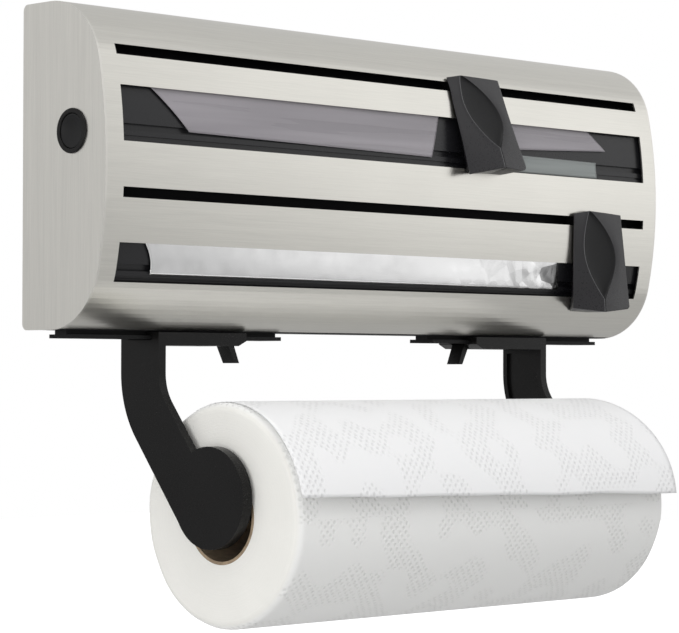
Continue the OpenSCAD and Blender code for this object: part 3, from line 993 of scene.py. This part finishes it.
@dataclass
class PaperHolder:
    """The loaded paper roll with its core and loose end. Angles start at the top of the roll."""

    hub_y: float = -0.0637856
    centre_z: float = -0.0835718 + BASE_Z
    radius: float = 0.0513
    length: float = 0.257
    core_r: float = 0.0205
    core_wall: float = 0.0015
    edge_r: float = 0.0042
    edge_ripple: float = 0.0005
    end_hollow: float = 0.0004
    sheet_half: float = 0.1245
    sheet_spread: float = 1.052
    sheet_from: float = -24.0
    sheet_to: tuple[float, float] = (79.5, 85.5)
    sheet_lift: float = 0.0054
    plies: float = 0.0003

    @property
    def axis(self) -> Vector:
        """Returns a point on the roll's axis."""
        return Vector((0.0, self.hub_y, self.centre_z))

    def build_roll(self, paper: bpy.types.Material, board: bpy.types.Material) -> None:
        """Builds the wound roll with soft edges, and the core in it.

        Args:
            paper: the winding's material.
            board: the core's material.
        """
        half, inner = self.length / 2, self.core_r + self.core_wall
        arc = [math.radians(a) for a in range(0, 91, 15)]
        right = [(half - self.edge_r + self.edge_r * math.sin(a),
                  self.radius - self.edge_r + self.edge_r * math.cos(a)) for a in arc]
        steps = 6
        right += [(half - self.end_hollow * math.sin(math.pi * i / steps),
                   mix(self.radius - self.edge_r, inner, i / steps)) for i in range(1, steps + 1)]
        outline = right + [(-x, r) for x, r in reversed(right)]
        bm = spun(outline, self.axis, 160)
        for vert in bm.verts:
            off = vert.co - self.axis
            ripple = noise.noise(Vector((off.y, off.z, math.copysign(0.3, off.x))) * 60.0)
            if abs(off.x) > half - self.edge_r:
                vert.co.x += math.copysign(self.edge_ripple, off.x) * ripple
        ride(finish_mesh("paper_winding", bm, paper, crease=40.0), "paper", "paper_white",
             "paper_roll")
        ends = [(half, inner), (-half, inner), (-half, self.core_r), (half, self.core_r)]
        core = finish_mesh("paper_core_tube", spun(ends, self.axis, 96), board, crease=40.0)
        ride(core, "paper", "cardboard", "paper_core")

    def _sheet(self, along: float, down: float) -> Vector:
        """Finds a point of the loose end.

        Args:
            along: share of the way along the roll.
            down: share of the way down the sheet.

        Returns:
            The point.
        """
        last = mix(*self.sheet_to, along) + 0.5 * noise.noise(Vector((along * 7.0, 0.0, 4.0)))
        angle = mix(self.sheet_from, last, down)
        lift = 0.0002 + self.sheet_lift * smooth_step((angle + 10.0) / 100.0) ** 1.2
        lift += 0.0005 * down ** 2 * noise.noise(Vector((along * 5.0, down * 2.0, 1.0)))
        reach = self.radius + lift
        turn = math.radians(angle)
        x = mix(-self.sheet_half, self.sheet_half, along)
        x *= mix(1.0, self.sheet_spread, smooth_step(down))
        return Vector((x, self.hub_y - reach * math.sin(turn), self.centre_z + reach * math.cos(turn)))

    def build_loose_end(self, paper: bpy.types.Material) -> None:
        """Builds the sheet that lies off the roll, with the thickness of two plies.

        Args:
            paper: its material.
        """
        sheet = finish_mesh("paper_loose_end", shaped_grid(90, 60, self._sheet), paper, crease=60.0)
        thicken(sheet, "plies", self.plies)
        ride(sheet, "arm_left", "paper_white", "paper_tail")


@dataclass(frozen=True)
class Patch:
    """A four-sided piece of film or foil on the front, each corner as x and z above the underside."""

    low_left: tuple[float, float]
    low_right: tuple[float, float]
    high_right: tuple[float, float]
    high_left: tuple[float, float]
    columns: int
    rows: int
    bow: float = 0.0

    def at(self, across: float, up: float) -> Vector:
        """Finds a place on the patch.

        Args:
            across: share of the way from left to right.
            up: share of the way up.

        Returns:
            x and z of the place. The left edge curves inwards by the bow, halfway up.
        """
        low = Vector(self.low_left).lerp(Vector(self.low_right), across)
        high = Vector(self.high_left).lerp(Vector(self.high_right), across)
        spot = low.lerp(high, up)
        spot.x += self.bow * (1 - across) ** 4 * 4 * up * (1 - up)
        return spot


@dataclass
class Webs:
    """The film and foil that lie over the window plates."""

    inset: float = 0.00145
    gauge: float = 0.00006
    film: Patch = Patch((-0.142, 0.0893), (0.018, 0.0874), (0.026, 0.1105), (-0.1665, 0.1105),
                        150, 16, 0.0012)
    flap: Patch = Patch((0.066, 0.0942), (0.153, 0.0983), (0.1375, 0.1105), (0.060, 0.1105), 60, 12)
    strip: Patch = Patch((0.068, 0.0834), (0.1445, 0.0834), (0.1445, 0.0918), (0.068, 0.0924), 60, 8)
    foil: Patch = Patch((-0.1608, 0.0248), (0.1195, 0.0246), (0.116, 0.0412), (-0.1682, 0.0412),
                        190, 14, 0.0022)

    def _lay(self, name: str, patch: Patch, ripple: Callable[[float, float], float],
             material: bpy.types.Material, *stands_for: str) -> None:
        """Lays a piece over a window plate.

        Args:
            name: the piece's name.
            patch: its outline.
            ripple: how far a point stands out, from x and the share up.
            material: its material.
            stands_for: its slot, and the CAD node that it replaces, if any.
        """
        def place(across: float, up: float) -> Vector:
            """Returns a point of the piece."""
            spot = patch.at(across, up)
            return Vector((spot.x, SKIN.y(spot.y) + self.inset - ripple(spot.x, up), spot.y + BASE_Z))

        grid = shaped_grid(patch.columns, patch.rows, place)
        web = finish_mesh(name, grid, material, crease=60.0)
        thicken(web, "gauge", self.gauge)
        ride(web, "cover", *stands_for)

    def _slack(self, x: float, up: float) -> float:
        """Finds the film's soft waves, which grow towards the cutter.

        Args:
            x: how far right.
            up: share of the way up.

        Returns:
            How far the film stands out.
        """
        loose = 0.25 + 0.75 * smooth_step((x + 0.06) / 0.08)
        return 0.00055 * loose * noise.noise(Vector((x * 22.0, up * 2.0, 2.0))) * (0.3 + up * 0.7)

    def _crumple(self, x: float, up: float) -> float:
        """Finds the foil's dents, which are sharpest where it ends behind the cutter.

        Args:
            x: how far right.
            up: share of the way up.

        Returns:
            How far the foil stands out.
        """
        near = smooth_step((x - 0.082) / 0.035)
        dent = 0.0007 * math.exp(-((x - 0.045) / 0.022) ** 2) * smooth_step(up * 1.6 - 0.3)
        fine = noise.noise(Vector((x * 130.0, up * 2.6, 5.0)))
        wave = noise.noise(Vector((x * 11.0, up * 0.8, 8.0)))
        return 0.0004 * wave + 0.0011 * near * fine - dent

    def build(self, film: bpy.types.Material, strip: bpy.types.Material,
              foil: bpy.types.Material) -> None:
        """Builds the film, its flap right of the cutter, the strip that was cut, and the foil.

        Args:
            film: the film's material.
            strip: the cut strip's material.
            foil: the foil's material.
        """
        self._lay("film_web", self.film, self._slack, film, "film_clear", "film_tail")
        self._lay("film_flap", self.flap, self._slack, film, "film_clear")
        self._lay("film_strip", self.strip, self._slack, strip, "film_clear")
        self._lay("foil_web", self.foil, self._crumple, foil, "foil", "foil_tail")


@dataclass(frozen=True)
class Softbox:
    """A soft area light aimed at a point."""

    name: str
    place: tuple[float, float, float]
    at: tuple[float, float, float]
    width: float
    height: float
    power: float

    def build(self) -> None:
        """Creates the light, which the camera doesn't see."""
        data = bpy.data.lights.new(self.name, "AREA")
        data.shape, data.size, data.size_y = "RECTANGLE", self.width, self.height
        data.energy = self.power
        light = bpy.data.objects.new(self.name, data)
        aim = (Vector(self.at) - Vector(self.place)).to_track_quat("-Z", "Y")
        light.matrix_world = Matrix.Translation(self.place) @ aim.to_matrix().to_4x4()
        light.visible_camera = False
        bpy.context.scene.collection.objects.link(light)


@dataclass
class Studio:
    """The camera, the lights and the plain pale floor."""

    eye: Vector = field(default_factory=lambda: Vector((-0.936446, -0.948069, -0.018248 + BASE_Z)))
    yaw: float = 44.974
    pitch: float = 1.188
    roll: float = 0.125
    lens: float = 140.6
    floor_z: float = -0.62
    floor_half: float = 6.0
    lights: tuple[Softbox, ...] = (
        Softbox("front softbox", (1.6, -1.3, 0.3), (0.05, -0.03, -0.04), 0.9, 2.2, 3.4),
        Softbox("top softbox", (-0.3, -0.7, 1.2), (0.0, -0.05, -0.15), 1.2, 0.9, 8.0),
        Softbox("low softbox", (-1.4, -0.6, -0.3), (-0.13, -0.06, -0.2), 0.9, 0.7, 6.0))

    def build(self) -> None:
        """Sets up the whole studio."""
        self._camera()
        self._floor()
        for light in self.lights:
            light.build()
        self._world()
        bpy.context.scene.view_settings.view_transform = "Standard"

    def _camera(self) -> None:
        """Creates the camera."""
        data = bpy.data.cameras.new("camera")
        data.lens, data.sensor_width = self.lens, 36.0
        data.clip_start, data.clip_end = 0.01, 50.0
        camera = bpy.data.objects.new("camera", data)
        turn = (Matrix.Rotation(math.radians(-self.yaw), 4, "Z")
                @ Matrix.Rotation(math.radians(90.0 + self.pitch), 4, "X")
                @ Matrix.Rotation(math.radians(self.roll), 4, "Z"))
        camera.matrix_world = Matrix.Translation(self.eye) @ turn
        bpy.context.scene.collection.objects.link(camera)
        bpy.context.scene.camera = camera

    def _floor(self) -> None:
        """Creates the floor, which looks white and lights the product softly from below."""
        bm = bmesh.new()
        bmesh.ops.create_grid(bm, x_segments=1, y_segments=1, size=self.floor_half,
                              matrix=Matrix.Translation((0.0, 0.0, self.floor_z)))
        material = bpy.data.materials.new("pale floor")
        material.use_nodes = True
        shader = material.node_tree.nodes["Principled BSDF"]
        shader.inputs["Base Color"].default_value = (0.62, 0.62, 0.62, 1.0)
        shader.inputs["Roughness"].default_value = 0.9
        shader.inputs["Emission Color"].default_value = (1.0, 1.0, 1.0, 1.0)
        t = Tree(material.node_tree)
        t.link(t.add("ShaderNodeLightPath").outputs["Is Camera Ray"],
               shader.inputs["Emission Strength"])
        finish_mesh("floor", bm, material)

    def _world(self) -> None:
        """Creates a white room that is brighter above and to the left than below."""
        world = bpy.data.worlds.new("studio")
        world.use_nodes = True
        bpy.context.scene.world = world
        t = Tree(world.node_tree)
        background = world.node_tree.nodes["Background"]
        x, _, z = t.split(t.add("ShaderNodeTexCoord").outputs["Generated"])
        height = t.ranged(z, (-0.6, 0.1), (0.16, 0.66))
        side = t.ranged(x, (0.45, 0.85), (0.8, 1.12))
        left = t.ranged(x, (-0.9, -0.45), (1.8, 1.0))
        room = t.math("MULTIPLY", t.math("MULTIPLY", height, side), left)
        strength = t.add("ShaderNodeMix", data_type="FLOAT")
        t.link(t.add("ShaderNodeLightPath").outputs["Is Camera Ray"], strength.inputs[0])
        t.link(room, strength.inputs[2])
        strength.inputs[3].default_value = 1.0
        t.link(strength.outputs[0], background.inputs["Strength"])
        background.inputs["Color"].default_value = (1.0, 1.0, 1.0, 1.0)


class Dispenser:
    """The whole product: frame, cover, cutters, paper holder and what it dispenses."""

    def __init__(self) -> None:
        """Builds the finishes."""
        effects = Effects()
        self.paper = PaperHolder()

        def steel(name: str, colour: Colour, rough: float, brushing: Brushing = Brushing.ALONG,
                  depth: float = 0.025) -> bpy.types.Material:
            """Returns a steel."""
            return BrushedSteel(name, colour, rough, brushing, depth).build(effects)

        def plastic(name: str, colour: Colour, rough: float, **texture: float) -> bpy.types.Material:
            """Returns a plastic."""
            return MouldedPlastic(name, colour, rough, **texture).build(effects)

        def kitchen_paper(name: str, colour: Colour, layered: bool) -> bpy.types.Material:
            """Returns a paper whose pattern runs round the roll."""
            return KitchenPaper(name, colour, 0.9, tuple(self.paper.axis), self.paper.radius,
                                layered).build(effects)

        self.sheet = steel("steel brushed along", (0.74, 0.726, 0.676), 0.3)
        self.plate = steel("steel brushed upright", (0.78, 0.765, 0.72), 0.36, Brushing.UPRIGHT, 0.035)
        self.spring = steel("spring steel", (0.5, 0.5, 0.51), 0.3, Brushing.ROUND)
        self.blade = steel("ground steel", (0.6, 0.6, 0.61), 0.22)
        self.black = plastic("frame black", (0.006, 0.006, 0.0065), 0.5)
        self.slot = plastic("slot black", (0.0025, 0.0025, 0.003), 0.6, shine=0.08)
        self.trim = plastic("trim black", (0.004, 0.0038, 0.0038), 0.28, grain=1100.0, depth=0.06,
                            shine=0.2)
        self.grey = plastic("plate grey", (0.009, 0.009, 0.0105), 0.3, shine=0.4)
        self.shell = plastic("cutter grey", (0.017, 0.0163, 0.0182), 0.3, grain=900.0, depth=0.2,
                             shine=0.5)
        self.inlay = plastic("grip black", (0.008, 0.008, 0.0085), 0.45, grain=1400.0, depth=0.05)
        # The lip material is a much lighter, glossier grey: a painted highlight along the scoop's left
        # edge and down its seam.
        self.lip = plastic("lip painted highlight", (0.11, 0.11, 0.115), 0.3, grain=900.0, depth=0.05,
                           shine=0.8)
        # The winding is a little darker and warmer than the loose sheet of the same paper; the
        # darkening is painted shade.
        self.wound = kitchen_paper("paper winding", (0.92, 0.92, 0.905), True)
        self.loose = kitchen_paper("paper sheet", (0.95, 0.95, 0.955), False)
        self.board = Cardboard("core board", (0.36, 0.27, 0.18), 0.85).build()
        self.film = ClingFilm("film veil", (0.345, 0.325, 0.35), 0.22, (0.72, 0.88)).build()
        self.strip = ClingFilm("film strip", (0.3, 0.325, 0.32), 0.22, (0.62, 0.78)).build()
        self.wound_film = ClingFilm("film winding", (0.5, 0.5, 0.54), 0.15, (0.97, 1.0)).build()
        self.foil = Foil("foil", (0.93, 0.93, 0.93), 0.14).build()

    def _soften(self, material: bpy.types.Material, body: str, slot: str, radius: float,
                *nodes: str) -> None:
        """Rounds the edges of several nodes of one body.

        Args:
            material: their finish.
            body: the body.
            slot: their material slot.
            radius: how far the edges are rounded.
            nodes: their names.
        """
        for node in nodes:
            Softened(node, radius, material, body, slot).build()

    def _dress(self, material: bpy.types.Material, *nodes: str) -> None:
        """Gives carried-over nodes a finish.

        Args:
            material: the finish.
            nodes: their names.
        """
        for node in nodes:
            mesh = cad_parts[node].data
            mesh.materials.clear()
            mesh.materials.append(material)
            log.info("%s: dressed in %s", node, material.name)

    def build_frame(self) -> None:
        """Finishes what is fixed to the wall."""
        self._soften(self.black, "frame", "frame_black", 0.0004, "back_plate", "cheek_left",
                     "cheek_right", "base_plate", "rail_left", "rail_right")
        self._soften(self.grey, "frame", "dark_grey", 0.0003, "trough_upper", "trough_lower")
        self._dress(self.spring, "rail_screws", "frame_screws", "latch_left", "latch_right")

    def build_cover(self) -> None:
        """Finishes the swinging cover."""
        self._dress(self.sheet, "front_cover")
        self._dress(self.plate, "end_plate_left", "end_plate_right")
        self._dress(self.spring, "hinge_studs", "button_spring_left", "button_spring_right")
        self._dress(self.slot, "slot_guide_upper", "slot_guide_lower")
        self._dress(self.grey, "window_plate_upper", "window_plate_lower")
        self._soften(self.trim, "cover", "trim_black", 0.0004, "bezel_left", "bezel_right")
        self._dress(self.inlay, "button_left", "button_right")

    def build_cutters(self) -> None:
        """Finishes both cutters."""
        upper = Cutter("upper", x=0.052, slot_z=0.124, drop=0.0425, proud=0.0125, tip_u=0.0089,
                       seam_u=0.0222, end_u=0.0205, scoop_end=0.75, corner_r=0.004,
                       crown=Slant(0.0, 0.0016, 0.0012), foot=Slant(-0.002, 0.0022, 0.001))
        lower = Cutter("lower", x=0.141, slot_z=0.0605, drop=0.0465, proud=0.017, tip_u=0.0112,
                       seam_u=0.0178, end_u=0.0174, scoop_end=0.87, corner_r=0.0015,
                       crown=Slant(-0.0009, 0.0009, -0.0003), foot=Slant(0.001, -0.0008, 0.0012))
        for cutter in (upper, lower):
            cutter.build(self.shell, self.inlay, self.lip)
            self._dress(self.blade, f"cutter_{cutter.level}_blade")
            self._dress(self.trim, f"cutter_{cutter.level}_shoe")

    def build_arms(self) -> None:
        """Finishes the arms with their levers."""
        for side in ("left", "right"):
            arm = f"arm_{side}"
            self._soften(self.trim, arm, "trim_black", 0.001, arm)
            self._soften(self.trim, arm, "dark_grey", 0.0008, f"hub_{side}")
            self._soften(self.trim, f"lever_{side}", "trim_black", 0.0004, f"lever_{side}")
            self._dress(self.spring, f"lever_pin_{side}", f"lever_spring_{side}")

    def build_goods(self) -> None:
        """Finishes the rolls and their loose ends."""
        self.paper.build_roll(self.wound, self.board)
        self.paper.build_loose_end(self.loose)
        Webs().build(self.film, self.strip, self.foil)
        self._dress(self.wound_film, "film_roll")
        self._dress(self.foil, "foil_roll")
        self._dress(self.board, "film_core", "foil_core")


def main() -> None:
    """Builds the dispenser and its studio."""
    logging.basicConfig(level=logging.INFO, format="%(message)s")
    dispenser = Dispenser()
    dispenser.build_frame()
    dispenser.build_cover()
    dispenser.build_cutters()
    dispenser.build_arms()
    dispenser.build_goods()
    Studio().build()
    bpy.context.view_layer.update()


if __name__ == "__main__":
    main()
